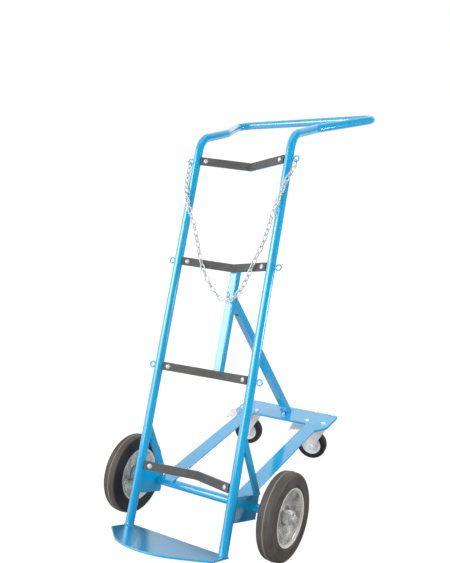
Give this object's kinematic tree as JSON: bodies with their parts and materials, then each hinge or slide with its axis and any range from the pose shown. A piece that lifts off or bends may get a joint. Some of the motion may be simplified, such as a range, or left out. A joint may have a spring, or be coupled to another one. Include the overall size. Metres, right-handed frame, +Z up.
{
  "type": "gas cylinder cart",
  "caption": "Steel cart for a tall gas cylinder: leaning tube frame with rubber-faced vee bands, round-fronted foot plate, safety chain, main wheels and braked swivel castors behind.",
  "frame": {"origin": "on the floor under the middle of the cart's box", "axes": "+Z up, -Y towards the cylinder side, +Y towards the handle and castors, +X across the cart"},
  "size_m": [0.6218, 1.1452, 1.199],
  "materials": {
    "blue_paint": "gloss powder coat",
    "zinc_steel": "bright zinc plate",
    "black_rubber": "matt moulded rubber",
    "tyre_rubber": "solid moulded tyre"
  },
  "bodies": {
    "frame": {"foot_plate": "blue_paint", "upright_left": "blue_paint", "upright_right": "blue_paint", "handle": "blue_paint", "chain_eyes_left": "blue_paint", "chain_eyes_right": "blue_paint", "centre_post": "blue_paint", "rear_strut": "blue_paint", "castor_plate": "blue_paint", "rear_bar_left": "blue_paint", "rear_bar_right": "blue_paint", "axle_tube": "blue_paint", "axle_plate_left": "blue_paint", "axle_plate_right": "blue_paint", "brace_left": "blue_paint", "brace_right": "blue_paint", "cross_band_1": "blue_paint", "rubber_strip_1": "black_rubber", "cross_band_2": "blue_paint", "rubber_strip_2": "black_rubber", "cross_band_3": "blue_paint", "rubber_strip_3": "black_rubber", "cross_band_4": "blue_paint", "rubber_strip_4": "black_rubber", "strip_screws": "zinc_steel", "strip_nuts": "zinc_steel", "strut_screw": "zinc_steel", "strut_nut": "zinc_steel", "axle_shaft": "zinc_steel", "axle_washers": "zinc_steel", "axle_pins": "zinc_steel", "castor_bolts": "zinc_steel", "castor_nuts": "zinc_steel", "strut_lug": "blue_paint", "castor_left_top_plate": "zinc_steel", "castor_left_king_pin": "zinc_steel", "castor_right_top_plate": "zinc_steel", "castor_right_king_pin": "zinc_steel"},
    "wheel_left": {"wheel_left_tyre": "tyre_rubber", "wheel_left_rim_outer": "zinc_steel", "wheel_left_rim_inner": "zinc_steel", "wheel_left_hub": "zinc_steel"},
    "castor_left": {"castor_left_fork": "zinc_steel", "castor_left_axle_bolt": "zinc_steel", "castor_left_pedal_pin": "zinc_steel"},
    "castor_left_wheel": {"castor_left_tyre": "black_rubber", "castor_left_rim": "zinc_steel"},
    "castor_left_pedal": {"castor_left_brake_pedal": "zinc_steel"},
    "wheel_right": {"wheel_right_tyre": "tyre_rubber", "wheel_right_rim_outer": "zinc_steel", "wheel_right_rim_inner": "zinc_steel", "wheel_right_hub": "zinc_steel"},
    "castor_right": {"castor_right_fork": "zinc_steel", "castor_right_axle_bolt": "zinc_steel", "castor_right_pedal_pin": "zinc_steel"},
    "castor_right_wheel": {"castor_right_tyre": "black_rubber", "castor_right_rim": "zinc_steel"},
    "castor_right_pedal": {"castor_right_brake_pedal": "zinc_steel"},
    "chain": {"chain_links": "zinc_steel"}
  },
  "joints": [
    {"name": "wheel_left_spin", "type": "hinge", "parent": "frame", "child": "wheel_left", "pos_m": [-0.2736, -0.24462, 0.125], "axis": [1, 0, 0], "continuous": true},
    {"name": "wheel_right_spin", "type": "hinge", "parent": "frame", "child": "wheel_right", "pos_m": [0.2736, -0.24462, 0.125], "axis": [1, 0, 0], "continuous": true},
    {"name": "castor_left_swivel", "type": "hinge", "parent": "frame", "child": "castor_left", "pos_m": [-0.134, 0.30438, 0.13], "axis": [0, 0, 1], "continuous": true},
    {"name": "castor_left_roll", "type": "hinge", "parent": "castor_left", "child": "castor_left_wheel", "pos_m": [-0.16587, 0.29801, 0.0525], "axis": [0.1959, -0.9806, 0], "continuous": true},
    {"name": "castor_left_brake", "type": "hinge", "parent": "castor_left", "child": "castor_left_pedal", "pos_m": [-0.18695, 0.2938, 0.113], "axis": [0.1959, -0.9806, 0], "range_deg": [0, 25]},
    {"name": "castor_right_swivel", "type": "hinge", "parent": "frame", "child": "castor_right", "pos_m": [0.134, 0.30438, 0.13], "axis": [0, 0, 1], "continuous": true},
    {"name": "castor_right_roll", "type": "hinge", "parent": "castor_right", "child": "castor_right_wheel", "pos_m": [0.10213, 0.29801, 0.0525], "axis": [0.1959, -0.9806, 0], "continuous": true},
    {"name": "castor_right_brake", "type": "hinge", "parent": "castor_right", "child": "castor_right_pedal", "pos_m": [0.08105, 0.2938, 0.113], "axis": [0.1959, -0.9806, 0], "range_deg": [0, 25]},
    {"name": "chain_swing", "type": "hinge", "parent": "frame", "child": "chain", "pos_m": [0, 0.0894, 1.08496], "axis": [-1, 0, 0], "range_deg": [0, 60]}
  ]
}
